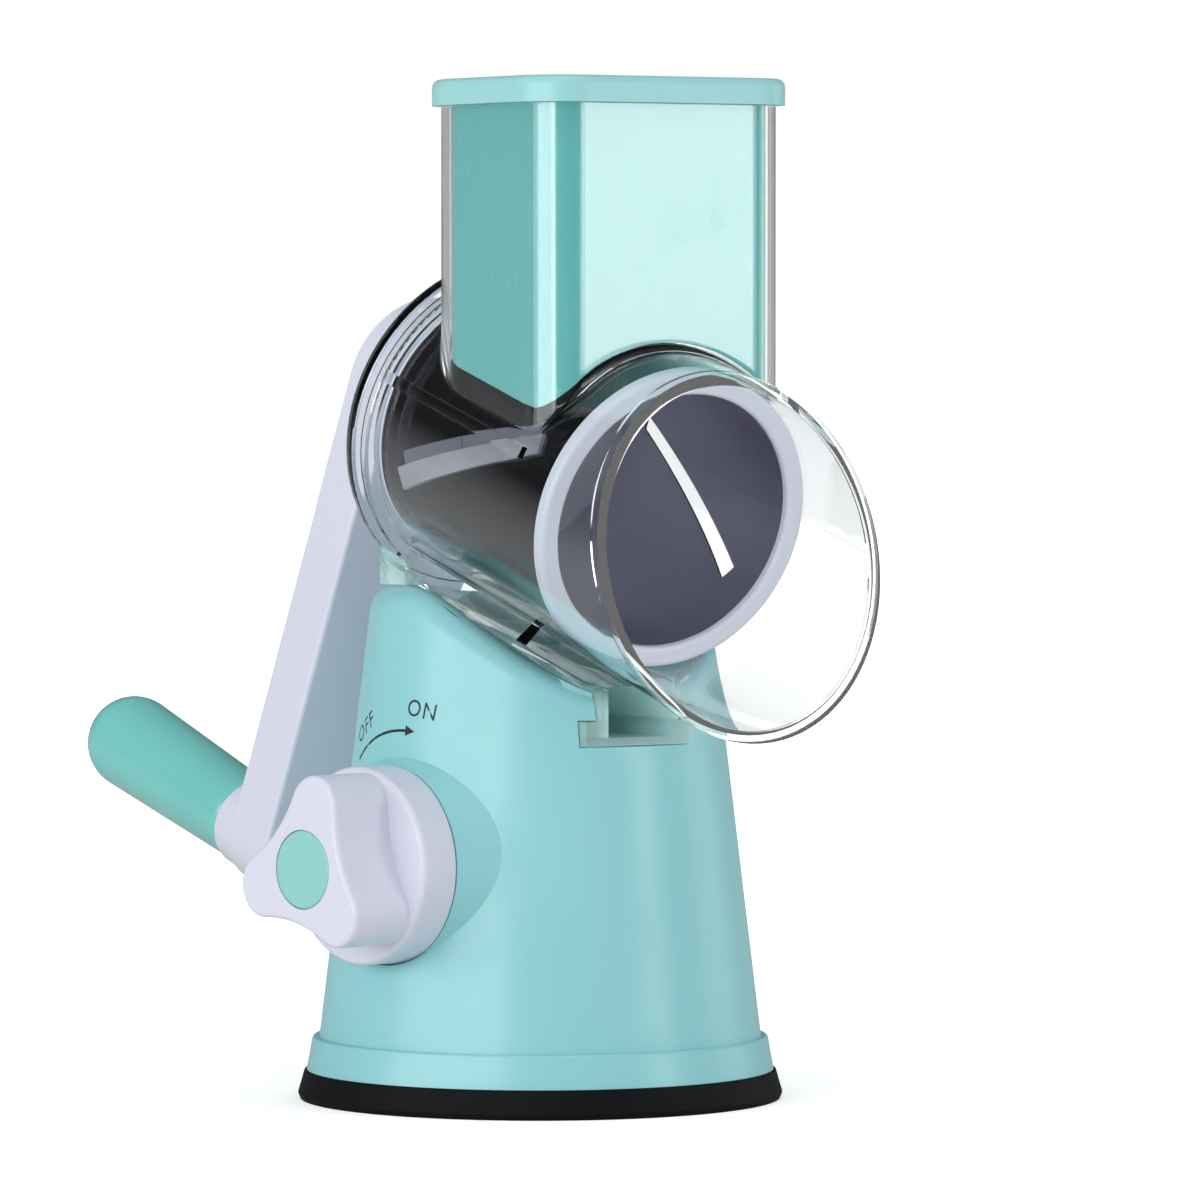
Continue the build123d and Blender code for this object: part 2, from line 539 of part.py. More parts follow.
def make_drum_hub():
    """End plate of the drum with ribs, and the hollow boss with its latch window."""
    inner, plate_back = SHELL_R - SHELL_WALL, DRUM_BACK - 1
    hub = turned((0, HUB_FACE + 1, 0), (BOSS_R, HUB_FACE + 1, SMALL_EDGE), (BOSS_R, HUB_FACE, 0),
                 (inner, HUB_FACE, 0), (inner, DRUM_BACK, 0), (SHELL_R, DRUM_BACK, 0),
                 (SHELL_R, plate_back, 0), (BOSS_R, plate_back, 0), (BOSS_R, BOSS_END, SMALL_EDGE),
                 (BOSS_BORE, BOSS_END, 0), (BOSS_BORE, DRUM_BACK, 0), (0, DRUM_BACK, 0))
    rib = Polyline((BOSS_R - 2, HUB_FACE), (inner - 2, HUB_FACE), (BOSS_R - 2, HUB_RIB_TOP), close=True)
    for turn in range(HUB_RIBS):
        hub += Rot(0, 0, 360 / HUB_RIBS * turn) * extrude(Plane.XZ * make_face(rib), RIB_HALF, both=True)
    window = block((BOSS_BORE - 2, BOSS_R + 2), (-WINDOW / 2, WINDOW / 2),
                   (LATCH_S - WINDOW / 2, LATCH_S + WINDOW / 2))
    return DRUM * hub - CRANK * window


# ---- crank ----
def arm_reach(x):
    """Half width of the arm at a distance from its hub."""
    return ARM_HUB_R - (ARM_HUB_R - ARM_END_R) * x / ARM_LENGTH


def arm_shell():
    """Tapered arm, open behind, with its ribs and the round boss at its end."""
    arm = teardrop(ARM_HUB_R, ARM_END_R, ARM_BACK, ARM_FRONT)
    arm = fillet(arm.faces().sort_by(Axis.Z)[-1].edges(), SOFT_EDGE)
    arm -= teardrop(ARM_HUB_R - ARM_WALL, ARM_END_R - ARM_WALL, ARM_BACK - 1, ARM_FRONT - ARM_WALL)
    rib_z = (ARM_BACK + 1, ARM_FRONT - 1)
    for x in ARM_RIBS:
        reach = arm_reach(x) - 1.5
        arm += block((x - RIB_HALF, x + RIB_HALF), (-reach, reach), rib_z)
    wall_x, wall_y = (31.2, 33), 20.5
    arm += block((wall_x[1], ARM_LENGTH), (-RIB_HALF, RIB_HALF), rib_z)
    arm += block(wall_x, (-wall_y, wall_y), (ARM_BACK + 3.4, ARM_FRONT - 1))
    boss_r, collar_r = ARM_END_R - 1, 13.1
    boss = turned((0, ARM_FRONT - 1, 0), (boss_r, ARM_FRONT - 1, 0), (boss_r, ARM_BACK, 0),
                  (collar_r + 0.3, ARM_BACK, 0), (collar_r, COLLAR_END, 1.2), (0, COLLAR_END, 0))
    return arm + Pos(ARM_LENGTH, 0, 0) * boss


def make_crank_arm():
    """Crank: arm, the drum's socket with its latch slots, screw bosses and the grip's collar."""
    arm = arm_shell() + rod(SOCKET_R, ARM_BACK + 2.2, HUB_FRONT)
    arm -= rod(BOSS_R + 0.1, BOSS_END - 0.5, HUB_FRONT + 1)
    arm -= rod(BOSS_BORE, ARM_BACK, BOSS_END + 1)
    latch_z = (LATCH_S - LATCH_HALF - 0.6, LATCH_S + LATCH_HALF + 0.6)
    arm -= block((BOSS_BORE, SOCKET_R + 1), (-3.5, 3.5), latch_z)
    arm -= block((-ARM_HUB_R - 1, -ARM_HUB_R + 4), (-6.4, 6.4), latch_z)
    boss_r, pilot_r = 2.6, 1.1
    x, y = COVER_SCREW
    for side in (-y, y):
        arm += rod(boss_r, ARM_BACK + 2.2, ARM_FRONT - 1, x, side)
        arm -= rod(pilot_r, ARM_BACK, ARM_FRONT - 5, x, side)
    arm -= rod(AXLE_R, COLLAR_END - 1, FAR, ARM_LENGTH)
    return CRANK * (arm - rod(5.6, ARM_FRONT - 3.4, FAR, ARM_LENGTH))


def make_hub_cover():
    """Domed cover over the latch, inside the arm's rear rim."""
    gap, thickness, rim_r, dome_r = 0.2, 2.2, 21, 14
    inset = ARM_WALL + gap
    room = teardrop(ARM_HUB_R - inset, ARM_END_R - inset, ARM_BACK, ARM_BACK + thickness)
    cover = room & block((-FAR, 31), (-FAR, FAR), (-FAR, 0))
    cover += turned((0, ARM_BACK - thickness, 0), (dome_r, ARM_BACK - thickness, 5), (rim_r, ARM_BACK, 0),
                    (0, ARM_BACK, 0))
    x, y = COVER_SCREW
    for side in (-y, y):
        cover -= rod(1.3, -FAR, 0, x, side)
    return CRANK * cover


def make_cover_screws():
    """Two small screws that hold the hub cover."""
    head_r, shank_r, head_high, shank_long, slot_half = 2.2, 1.1, 1.4, 12, 0.3
    screw = rod(head_r, ARM_BACK - head_high, ARM_BACK) + rod(shank_r, ARM_BACK, ARM_BACK + shank_long)
    screw -= block((-1.9, 1.9), (-slot_half, slot_half), (-FAR, ARM_BACK - 0.8))
    x, y = COVER_SCREW
    return Compound([CRANK * (Pos(x, side, 0) * screw) for side in (-y, y)])


def make_latch_slider():
    """Push frame round the socket: a button at one end, the drum's catch at the other."""
    low, high = LATCH_S - LATCH_HALF, LATCH_S + LATCH_HALF
    hole_r, frame_y = SOCKET_R + 0.2, 21.4
    frame = rod(ARM_HUB_R - ARM_WALL - 0.4, low, high) & block((-FAR, FAR), (-frame_y, frame_y), (-FAR, FAR))
    slot = Circle(hole_r).edges() + (Pos(-LATCH_TRAVEL, 0) * Circle(hole_r)).edges()
    frame -= extrude(Pos(0, 0, low - 1) * make_hull(slot), high - low + 2)
    frame += block((SOCKET_R + 0.6, 23), (-7, 7), (low, high))
    frame += block((BOSS_BORE + 0.4, SOCKET_R + 1), (-3, 3), (low, high))
    button = block((-ARM_HUB_R - 3.4, -ARM_HUB_R + 3.6), (-6, 6), (low - 0.2, high + 0.2))
    return CRANK * (frame + fillet(button.edges().filter_by(Axis.Z), 1.2))


def make_latch_spring():
    """Bowed leaf spring between the slider and a rib of the arm."""
    end_x, end_y, crown_x, half_thick, width = 30.7, 11, 23.6, 0.25, 2.8
    bow = ThreePointArc((end_x, -end_y), (crown_x, 0), (end_x, end_y))
    strip = Pos(0, 0, LATCH_S - width / 2) * offset(bow, half_thick)
    return CRANK * extrude(make_face(strip.edges()), width)


def make_grip_axle():
    """Steel pin through the arm's end, headed in front and grooved for the grip's clip."""
    tip, head_r = -214, 5.4
    head = (ARM_FRONT - 3.4, ARM_FRONT - 0.8)
    pin = rod(AXLE_R, tip, head[0]) + rod(head_r, *head)
    pin -= tube(AXLE_R + 1, AXLE_R - 0.7, *GRIP_CLIP_GROOVE)
    pin -= block((-4, 4), (-0.5, 0.5), (head[1] - 1.2, 0))
    return CRANK * (Pos(ARM_LENGTH, 0, 0) * pin)


def make_grip_clip():
    """Ring in the axle's groove that keeps the grip on."""
    low, high = GRIP_CLIP_GROOVE
    ring = tube(5.4, AXLE_R - 0.7, low + 0.2, high - 0.2) - block((-1.6, 1.6), (0, FAR), (-FAR, FAR))
    return CRANK * (Pos(ARM_LENGTH, 0, 0) * ring)


def make_grip():
    """Capsule grip that turns on the axle, swelling a little towards its round tip."""
    low, high = GRIP_CLIP_GROOVE
    body = turned((0, GRIP_START, 0), (GRIP_NECK_R, GRIP_START, SOFT_EDGE),
                  (GRIP_TIP_R, GRIP_TIP, GRIP_TIP_R - 0.4), (0, GRIP_TIP, 0))
    body -= rod(AXLE_R + RUNNING_GAP, -217, FAR)
    return CRANK * (Pos(ARM_LENGTH, 0, 0) * (body - rod(5.9, low - 0.4, high + 0.4)))


os.makedirs("parts", exist_ok=True)

write("base_body", make_base_body())
write("base_ring", make_base_ring())
write("suction_pad", make_suction_pad())
write("base_screws", make_base_screws())
write("lock_bush", make_lock_bush())
write("lock_shaft", make_lock_shaft())
write("lock_knob", make_lock_knob())
write("knob_cap", make_knob_cap())
write("knob_screw", make_knob_screw())
write("shaft_clip", make_shaft_clip())
write("lift_stem", make_lift_stem())
write("drum_housing", make_drum_housing())
write("rear_bush", make_rear_bush())
write("pusher_body", make_pusher_body())
write("pusher_cap", make_pusher_cap())
write("drum_shell", make_drum_shell())
write("slicing_blades", make_slicing_blades())
write("drum_ring", make_drum_ring())
write("drum_hub", make_drum_hub())
write("crank_arm", make_crank_arm())
write("hub_cover", make_hub_cover())
write("cover_screws", make_cover_screws())
write("latch_slider", make_latch_slider())
write("latch_spring", make_latch_spring())
write("grip_axle", make_grip_axle())
write("grip_clip", make_grip_clip())
write("grip", make_grip())
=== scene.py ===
"""Looks of a hand-cranked drum shredder that stands on a suction foot.

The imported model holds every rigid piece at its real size. This script gives each piece its finish and lays
the printed lock mark on the cone. All places are in metres in the model's own frame: +Z up, the outlet
towards -Y, the crank towards +Y and the lock knob towards -X.
"""

import json
import logging
import math
from dataclasses import dataclass
from enum import Enum
from typing import Any, Callable, Iterable

import bpy
import numpy as np
from mathutils import Matrix, Vector

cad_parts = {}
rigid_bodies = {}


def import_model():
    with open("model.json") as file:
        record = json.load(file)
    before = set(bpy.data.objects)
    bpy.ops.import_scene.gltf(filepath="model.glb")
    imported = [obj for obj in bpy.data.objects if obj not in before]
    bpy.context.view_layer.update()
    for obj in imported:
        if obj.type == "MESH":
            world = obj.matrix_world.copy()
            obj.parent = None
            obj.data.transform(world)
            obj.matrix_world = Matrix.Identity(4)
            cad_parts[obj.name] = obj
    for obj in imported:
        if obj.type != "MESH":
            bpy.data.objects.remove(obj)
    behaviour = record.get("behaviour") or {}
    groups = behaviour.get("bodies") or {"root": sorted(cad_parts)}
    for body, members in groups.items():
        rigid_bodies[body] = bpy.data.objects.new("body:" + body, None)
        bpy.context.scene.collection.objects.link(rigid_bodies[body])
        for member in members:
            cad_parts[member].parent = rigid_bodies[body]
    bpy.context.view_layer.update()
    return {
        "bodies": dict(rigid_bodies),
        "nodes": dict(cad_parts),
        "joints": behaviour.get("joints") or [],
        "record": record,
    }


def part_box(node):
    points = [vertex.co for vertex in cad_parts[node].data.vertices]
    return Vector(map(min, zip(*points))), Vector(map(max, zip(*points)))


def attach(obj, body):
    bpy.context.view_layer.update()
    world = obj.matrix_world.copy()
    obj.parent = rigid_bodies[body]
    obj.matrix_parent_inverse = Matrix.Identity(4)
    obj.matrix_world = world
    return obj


log = logging.getLogger("shredder")

MM = 0.001
WHITE = (1.0, 1.0, 1.0, 1.0)
PLASTIC_IOR = 1.5
Array = np.ndarray


# ---------------------------------------------------------------- frame helpers
def linear(code: str) -> tuple[float, float, float, float]:
    """Turns a colour code such as "#93D6D4" into the linear colour that a socket takes."""
    shown = [int(code[i:i + 2], 16) / 255 for i in (1, 3, 5)]
    held = [c / 12.92 if c <= 0.04045 else ((c + 0.055) / 1.055) ** 2.4 for c in shown]
    return (*held, 1.0)


@dataclass(frozen=True)
class Axis3:
    """A joint's axis as a local frame.

    Attributes:
        place: A point on the axis.
        along: Unit vector along it.
        side: Unit vector square to it.
        other: Unit vector square to both.
    """

    place: Array
    along: Array
    side: Array
    other: Array

    @classmethod
    def of_joint(cls, frame: dict[str, Any], name: str, side_hint: Iterable[float]) -> "Axis3":
        """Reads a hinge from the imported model.

        Args:
            name: The joint's name.
            side_hint: A direction from which the side vector is squared up.

        Returns:
            The hinge as a local frame.
        """
        joint = next(j for j in frame["joints"] if j["name"] == name)
        along = np.array(joint["axis"], float)
        along /= np.linalg.norm(along)
        side = np.array(list(side_hint), float)
        side -= along * (side @ along)
        side /= np.linalg.norm(side)
        return cls(np.array(joint["pos_m"], float), along, side, np.cross(along, side))

    def euler(self) -> tuple[float, float, float]:
        """Turn that lays X, Y and Z on side, other and along."""
        return tuple(Matrix(np.stack([self.side, self.other, self.along], axis=1).tolist()).to_euler())


# ---------------------------------------------------------------- shader nodes
class Sketch:
    """Places and links the nodes of one shader tree."""

    def __init__(self, tree: bpy.types.NodeTree) -> None:
        """Takes over an empty tree."""
        self.tree = tree

    def add(self, kind: str, inputs: dict[Any, Any] | None = None, **settings: Any) -> bpy.types.Node:
        """Adds one node.

        Args:
            kind: The node's class, such as "ShaderNodeBump".
            inputs: A value or an output socket for each named or numbered input.
            settings: The node's own properties.

        Returns:
            The new node.
        """
        node = self.tree.nodes.new(kind)
        for name, value in settings.items():
            setattr(node, name, value)
        for key, value in (inputs or {}).items():
            if isinstance(value, bpy.types.NodeSocket):
                self.tree.links.new(value, node.inputs[key])
            else:
                node.inputs[key].default_value = value
        return node

    def math(self, operation: str, *values: Any) -> bpy.types.NodeSocket:
        """Result socket of a Math node with these values or sockets."""
        return self.add("ShaderNodeMath", dict(enumerate(values)), operation=operation).outputs[0]

    def span(self, value: Any, low: float, high: float, to_low: float,
             to_high: float) -> bpy.types.NodeSocket:
        """Result socket of a clamped Map Range from low..high to to_low..to_high."""
        inputs = {"Value": value, "From Min": low, "From Max": high, "To Min": to_low, "To Max": to_high}
        return self.add("ShaderNodeMapRange", inputs).outputs["Result"]

    def length(self, vector: bpy.types.NodeSocket) -> bpy.types.NodeSocket:
        """Result socket of a vector's length."""
        return self.add("ShaderNodeVectorMath", {0: vector}, operation="LENGTH").outputs["Value"]

    def noise(self, vector: Any, scale: Any, detail: float = 2.0,
              distortion: float = 0.0) -> bpy.types.NodeSocket:
        """Value socket of a noise texture, about 0 to 1."""
        inputs = {"Vector": vector, "Scale": scale, "Detail": detail, "Distortion": distortion}
        return self.add("ShaderNodeTexNoise", inputs).outputs["Fac"]

    def blend(self, share: Any, first: Any, second: Any) -> bpy.types.NodeSocket:
        """Colour socket of a mix of two colours; a Mix node's inputs 6 and 7 hold them."""
        return self.add("ShaderNodeMix", {0: share, 6: first, 7: second}, data_type="RGBA").outputs[2]

    def choose(self, share: Any, first: Any, second: Any) -> bpy.types.NodeSocket:
        """Value socket of a mix of two numbers; a Mix node's inputs 2 and 3 hold them."""
        return self.add("ShaderNodeMix", {0: share, 2: first, 3: second}).outputs[0]

    def mixed(self, share: Any, first: bpy.types.Node, second: bpy.types.Node) -> bpy.types.Node:
        """Mix Shader node of two shader nodes."""
        return self.add("ShaderNodeMixShader", {0: share, 1: first.outputs[0], 2: second.outputs[0]})


def effect(name: str, inputs: dict[str, float], outputs: Iterable[str],
           draw: Callable[[Sketch, bpy.types.Node], dict[str, bpy.types.NodeSocket]]) -> bpy.types.NodeTree:
    """Builds a shared effect once as a node group and returns it.

    Args:
        name: The group's name.
        inputs: Its number inputs and their defaults. It also gets a Vector input.
        outputs: Its number outputs.
        draw: Draws the group's nodes and returns the socket for each output.

    Returns:
        The node group.
    """
    if name in bpy.data.node_groups:
        return bpy.data.node_groups[name]
    tree = bpy.data.node_groups.new(name, "ShaderNodeTree")
    tree.interface.new_socket("Vector", in_out="INPUT", socket_type="NodeSocketVector")
    for key, value in inputs.items():
        socket = tree.interface.new_socket(key, in_out="INPUT", socket_type="NodeSocketFloat")
        socket.default_value = value
    for key in outputs:
        tree.interface.new_socket(key, in_out="OUTPUT", socket_type="NodeSocketFloat")
    sketch = Sketch(tree)
    entry = sketch.add("NodeGroupInput")
    leaving = sketch.add("NodeGroupOutput")
    for key, socket in draw(sketch, entry).items():
        tree.links.new(socket, leaving.inputs[key])
    return tree


def moulded_skin() -> bpy.types.NodeTree:
    """Effect of a moulded surface.

    Height is fine grain plus a slow ripple, Tone is the slow drift of the pigment, and Smudge marks where
    hands have left the gloss a little duller.
    """
    def draw(sketch: Sketch, entry: bpy.types.Node) -> dict[str, bpy.types.NodeSocket]:
        """Noise at three scales, counted in patches per metre."""
        place = entry.outputs["Vector"]
        grain = sketch.noise(place, sketch.math("DIVIDE", 1.0, entry.outputs["Grain Size"]), 2.0)
        ripple = sketch.noise(place, 22.0, 1.0)
        slow = sketch.math("MULTIPLY", ripple, entry.outputs["Ripple"])
        smear = sketch.noise(place, 55.0, 4.0, 1.4)
        drift = sketch.noise(place, 14.0, 2.0, 0.6)
        return {"Height": sketch.math("ADD", grain, slow),
                "Tone": sketch.span(drift, 0.34, 0.68, 0.0, 1.0),
                "Smudge": sketch.span(smear, 0.52, 0.74, 0.0, 1.0)}

    return effect("moulded_skin", {"Grain Size": 0.0005, "Ripple": 2.0}, ("Height", "Tone", "Smudge"), draw)


def turned_grain() -> bpy.types.NodeTree:
    """Effect of metal turned about local Z: fine rings, a few scratches and rubbed patches."""
    def draw(sketch: Sketch, entry: bpy.types.Node) -> dict[str, bpy.types.NodeSocket]:
        """Noise stretched around the axis for the rings, and round noise for the rubbed patches."""
        place = entry.outputs["Vector"]
        thin = sketch.add("ShaderNodeMapping", {"Vector": place, "Scale": (12.0, 12.0, 5200.0)})
        rings = sketch.noise(thin.outputs["Vector"], 1.0, 3.0)
        tilted = sketch.add("ShaderNodeMapping", {"Vector": place, "Rotation": (0.5, 0.35, 0.0),
                                                  "Scale": (60.0, 60.0, 3800.0)})
        scratch = sketch.span(sketch.noise(tilted.outputs["Vector"], 1.0, 1.0), 0.68, 0.74, 0.0, 1.0)
        rubbed = sketch.span(sketch.noise(place, 40.0, 3.0, 0.8), 0.4, 0.7, 0.0, 1.0)
        marks = sketch.math("SUBTRACT", rings, sketch.math("MULTIPLY", scratch, entry.outputs["Scratches"]))
        return {"Height": marks, "Rings": sketch.span(rings, 0.3, 0.7, 0.0, 1.0), "Rubbed": rubbed}

    return effect("turned_grain", {"Scratches": 0.5}, ("Height", "Rings", "Rubbed"), draw)


# ---------------------------------------------------------------- finishes
def new_material(name: str) -> tuple[bpy.types.Material, Sketch, bpy.types.Node, bpy.types.Node]:
    """Empty material.

    Args:
        name: The material's name.

    Returns:
        The material, its sketch, its output node and its Texture Coordinate node.
    """
    material = bpy.data.materials.new(name)
    material.use_nodes = True
    material.node_tree.nodes.clear()
    sketch = Sketch(material.node_tree)
    return material, sketch, sketch.add("ShaderNodeOutputMaterial"), sketch.add("ShaderNodeTexCoord")


def laid_on(sketch: Sketch, spot: bpy.types.Node, axis: Axis3) -> tuple[bpy.types.NodeSocket, ...]:
    """Places a surface in an axis's own frame.

    Args:
        sketch: The material's sketch.
        spot: Its Texture Coordinate node.
        axis: The axis.

    Returns:
        The place as a vector whose Z runs along the axis, and the distance from the axis.
    """
    lay = sketch.add("ShaderNodeMapping", {"Vector": spot.outputs["Object"], "Location": tuple(axis.place),
                                           "Rotation": axis.euler()}, vector_type="TEXTURE")
    laid = lay.outputs["Vector"]
    flat = sketch.add("ShaderNodeVectorMath", {0: laid, 1: (1.0, 1.0, 0.0)}, operation="MULTIPLY")
    return laid, sketch.length(flat.outputs[0])


@dataclass(frozen=True)
class Moulded:
    """Opaque moulded plastic or rubber.

    Attributes:
        name: The material's name.
        colour: Colour code of the pigment.
        drift: Colour code that the pigment drifts towards in slow patches.
        gloss: Roughness where the surface is clean.
        dull: Roughness where it is smudged.
        grain: Size of the surface's grain, in metres.
        depth: Height of grain and ripple, in metres.
        ripple: Share of slow ripple.
        glow: Share of light that goes into the pigment and comes out again.
        glow_depth: How deep that light goes, in metres.
        coat: Weight of a clear gloss coat.
        coat_rough: Roughness of that coat.
        shine: Strength of the surface's mirror reflection, 0.5 for common plastic.
    """

    name: str
    colour: str
    drift: str
    gloss: float = 0.28
    dull: float = 0.36
    grain: float = 0.0005
    depth: float = 0.000012
    ripple: float = 3.0
    glow: float = 0.05
    glow_depth: float = 0.002
    coat: float = 0.0
    coat_rough: float = 0.06
    shine: float = 0.5

    def make(self, axis: Axis3) -> bpy.types.Material:
        """Builds the material; the axis is for turned finishes only."""
        material, sketch, out, spot = new_material(self.name)
        skin = sketch.add("ShaderNodeGroup", {"Vector": spot.outputs["Object"], "Grain Size": self.grain,
                                              "Ripple": self.ripple}, node_tree=moulded_skin())
        bump = sketch.add("ShaderNodeBump", {"Height": skin.outputs["Height"], "Distance": self.depth})
        shader = sketch.add("ShaderNodeBsdfPrincipled", {
            "Base Color": sketch.blend(skin.outputs["Tone"], linear(self.colour), linear(self.drift)),
            "Roughness": sketch.span(skin.outputs["Smudge"], 0.0, 1.0, self.gloss, self.dull),
            "Normal": bump.outputs["Normal"],
            "IOR": PLASTIC_IOR,
            "Specular IOR Level": self.shine,
            "Subsurface Weight": self.glow,
            "Subsurface Scale": self.glow_depth,
            "Coat Weight": self.coat,
            "Coat Roughness": self.coat_rough,
        })
        sketch.tree.links.new(shader.outputs[0], out.inputs["Surface"])
        return material


@dataclass(frozen=True)
class Metal:
    """Rolled or turned metal whose grain runs round the drum's axis.

    Attributes:
        name: The material's name.
        colour: Colour code of the metal.
        drift: Colour code of the rubbed patches.
        inside: Colour code of faces nearer the axis than the radius below; its pale tone is painted light
            that lifts the shade in the drum's hollow.
        gloss: Roughness between the grain's rings.
        dull: Roughness on them.
        inside_dull: Roughness of the faces inside.
        depth: Height of the grain, in metres.
        scratches: Depth of stray scratches beside the grain.
        inner_radius: Radius that parts inside from outside, in metres; nothing is inside at zero.
    """

    name: str
    colour: str
    drift: str
    inside: str = "#808080"
    gloss: float = 0.14
    dull: float = 0.26
    inside_dull: float = 0.3
    depth: float = 0.000002
    scratches: float = 0.5
    inner_radius: float = 0.0

    def make(self, axis: Axis3) -> bpy.types.Material:
        """Builds the material round an axis."""
        material, sketch, out, spot = new_material(self.name)
        laid, radius = laid_on(sketch, spot, axis)
        grain = sketch.add("ShaderNodeGroup", {"Vector": laid, "Scratches": self.scratches},
                           node_tree=turned_grain())
        within = sketch.math("LESS_THAN", radius, self.inner_radius)
        bump = sketch.add("ShaderNodeBump", {"Height": grain.outputs["Height"], "Distance": self.depth})
        worn = sketch.blend(grain.outputs["Rubbed"], linear(self.colour), linear(self.drift))
        rough = sketch.span(grain.outputs["Rings"], 0.0, 1.0, self.gloss, self.dull)
        shader = sketch.add("ShaderNodeBsdfPrincipled", {
            # Faces within the inner radius get the pale inside colour, which is painted light for the drum's
            # shaded hollow, and a rougher finish.
            "Base Color": sketch.blend(within, worn, linear(self.inside)),
            "Metallic": 1.0,
            "Roughness": sketch.math("MAXIMUM", rough, sketch.math("MULTIPLY", within, self.inside_dull)),
            "Normal": bump.outputs["Normal"],
        })
        sketch.tree.links.new(shader.outputs[0], out.inputs["Surface"])
        return material


@dataclass(frozen=True)
class Clear:
    """Clear moulded plastic that lets the lamps reach what is behind it.

    The thick keel and rail that hang under the drum's tube look a little milky; that milky layer is partly
    the plastic's own milkiness and partly painted glow for light piped along the clear rail.

    Attributes:
        name: The material's name.
        colour: Colour code that light takes on at each face it crosses.
        ior: Index of refraction.
        gloss: Roughness where the surface is clean.
        dull: Roughness where it is smudged.
        wave: Size of the slow moulding waves, in metres.
        depth: Their height, in metres.
        ripple: Share of slow ripple.
        piped_glow_milk: Colour code of the milky layer, partly the plastic's milkiness and partly painted
            glow of piped light.
        piped_glow_start: Distance under the drum's axis at which the milky layer begins, in metres.
        piped_glow_full: Distance at which it is full, in metres.
        piped_glow_share: Share of the full milky layer, with its painted glow, in the look; the rest is
            clear plastic.
        density: Share of the milky layer that hides what is behind it.
    """

    name: str
    colour: str
    ior: float = PLASTIC_IOR
    gloss: float = 0.015
    dull: float = 0.045
    wave: float = 0.03
    depth: float = 0.00006
    ripple: float = 1.0
    piped_glow_milk: str = "#D2F4F0"
    piped_glow_start: float = 51.0 * MM
    piped_glow_full: float = 57.0 * MM
    piped_glow_share: float = 0.65
    density: float = 0.6

    def make(self, axis: Axis3) -> bpy.types.Material:
        """Builds the material, milky under the axis, where a pale diffuse layer paints in the glow of piped
        light.
        """
        material, sketch, out, spot = new_material(self.name)
        skin = sketch.add("ShaderNodeGroup", {"Vector": spot.outputs["Object"], "Grain Size": self.wave,
                                              "Ripple": self.ripple}, node_tree=moulded_skin())
        bump = sketch.add("ShaderNodeBump", {"Height": skin.outputs["Height"], "Distance": self.depth})
        clear = sketch.add("ShaderNodeBsdfPrincipled", {
            "Base Color": linear(self.colour),
            "Transmission Weight": 1.0,
            "IOR": self.ior,
            "Roughness": sketch.span(skin.outputs["Smudge"], 0.0, 1.0, self.gloss, self.dull),
            "Normal": bump.outputs["Normal"],
        })
        passing = sketch.add("ShaderNodeBsdfTransparent", {"Color": linear(self.colour)})
        # Pale diffuse layer under the tube: partly real milkiness and partly painted glow that stands in for
        # light piped along the clear rail.
        milk_and_piped_glow = sketch.add("ShaderNodeBsdfDiffuse", {"Color": linear(self.piped_glow_milk)})
        plastic = sketch.mixed(self.under(sketch, spot, axis), clear,
                               sketch.mixed(self.density, passing, milk_and_piped_glow))
        path = sketch.add("ShaderNodeLightPath")
        lamp_ray = sketch.math("MAXIMUM", path.outputs["Is Shadow Ray"], path.outputs["Is Diffuse Ray"])
        mix = sketch.mixed(lamp_ray, plastic, passing)
        sketch.tree.links.new(mix.outputs[0], out.inputs["Surface"])
        return material

    def under(self, sketch: Sketch, spot: bpy.types.Node, axis: Axis3) -> bpy.types.NodeSocket:
        """Mask of the parts that hang under the tube, where the painted glow of piped light goes, at most
        piped_glow_share.

        Args:
            sketch: The material's sketch.
            spot: Its Texture Coordinate node.
            axis: The drum's axis, whose other vector points up.

        Returns:
            The mask's socket.
        """
        laid, radius = laid_on(sketch, spot, axis)
        upward = sketch.add("ShaderNodeSeparateXYZ", {0: laid}).outputs["Y"]
        outside = sketch.span(radius, self.piped_glow_start, self.piped_glow_full, 0.0, self.piped_glow_share)
        return sketch.math("MULTIPLY", outside, sketch.math("LESS_THAN", upward, 0.0))


class Finish(Enum):
    """Every finish of the machine, by the record's slot where it has one."""

    MINT_BODY = Moulded("mint_body", "#92D1D6", "#8DCDD2", gloss=0.30, dull=0.38)
    MINT_LID = Moulded("mint_lid", "#9CD6D8", "#97D2D5", gloss=0.34, dull=0.42)
    MINT_CAP = Moulded("mint_cap", "#8ECFC9", "#8ACBC6", gloss=0.3, dull=0.4)
    TEAL_PUSHER = Moulded("teal_pusher", "#60B7B6", "#5BB3B2", gloss=0.22, dull=0.30, coat=0.8)
    TEAL_GRIP = Moulded("teal_grip", "#7BCBC6", "#75C6C1", gloss=0.16, dull=0.24, coat=0.25)
    LILAC = Moulded("lilac_white", "#D8DAE8", "#D4D7E6", gloss=0.30, dull=0.38, glow=0.08)
    BUSH = Moulded("bush_white", "#EDEDEB", "#E8E8E6", gloss=0.4, dull=0.5, glow=0.1)
    RUBBER = Moulded("rubber_pad", "#070B0D", "#0B1012", gloss=0.62, dull=0.72, depth=0.00002,
                     glow=0.0, shine=0.2)
    INK = Moulded("print_ink", "#1A2224", "#22292B", gloss=0.45, dull=0.5, glow=0.0)
    # The drum's pale inside colour is painted light in its shaded hollow.
    DRUM = Metal("drum_steel", "#3F3F47", "#3A3A42", inside="#CFCEDA", gloss=0.10, dull=0.16,
                 inside_dull=0.30, inner_radius=38.6 * MM)
    BLADE = Metal("blade_steel", "#D8DAE4", "#CFD1DC", gloss=0.40, dull=0.48)
    SHAFT = Metal("shaft_steel", "#B9BABC", "#AFB0B3", gloss=0.2, dull=0.32)
    SCREW = Metal("screw_steel", "#C6C7C9", "#BABBBE", gloss=0.18, dull=0.3)
    # The clear plastic's milky layer under the tube is partly painted glow of piped light.
    CLEAR = Clear("clear_plastic", "#FBFEFE", ior=1.42)


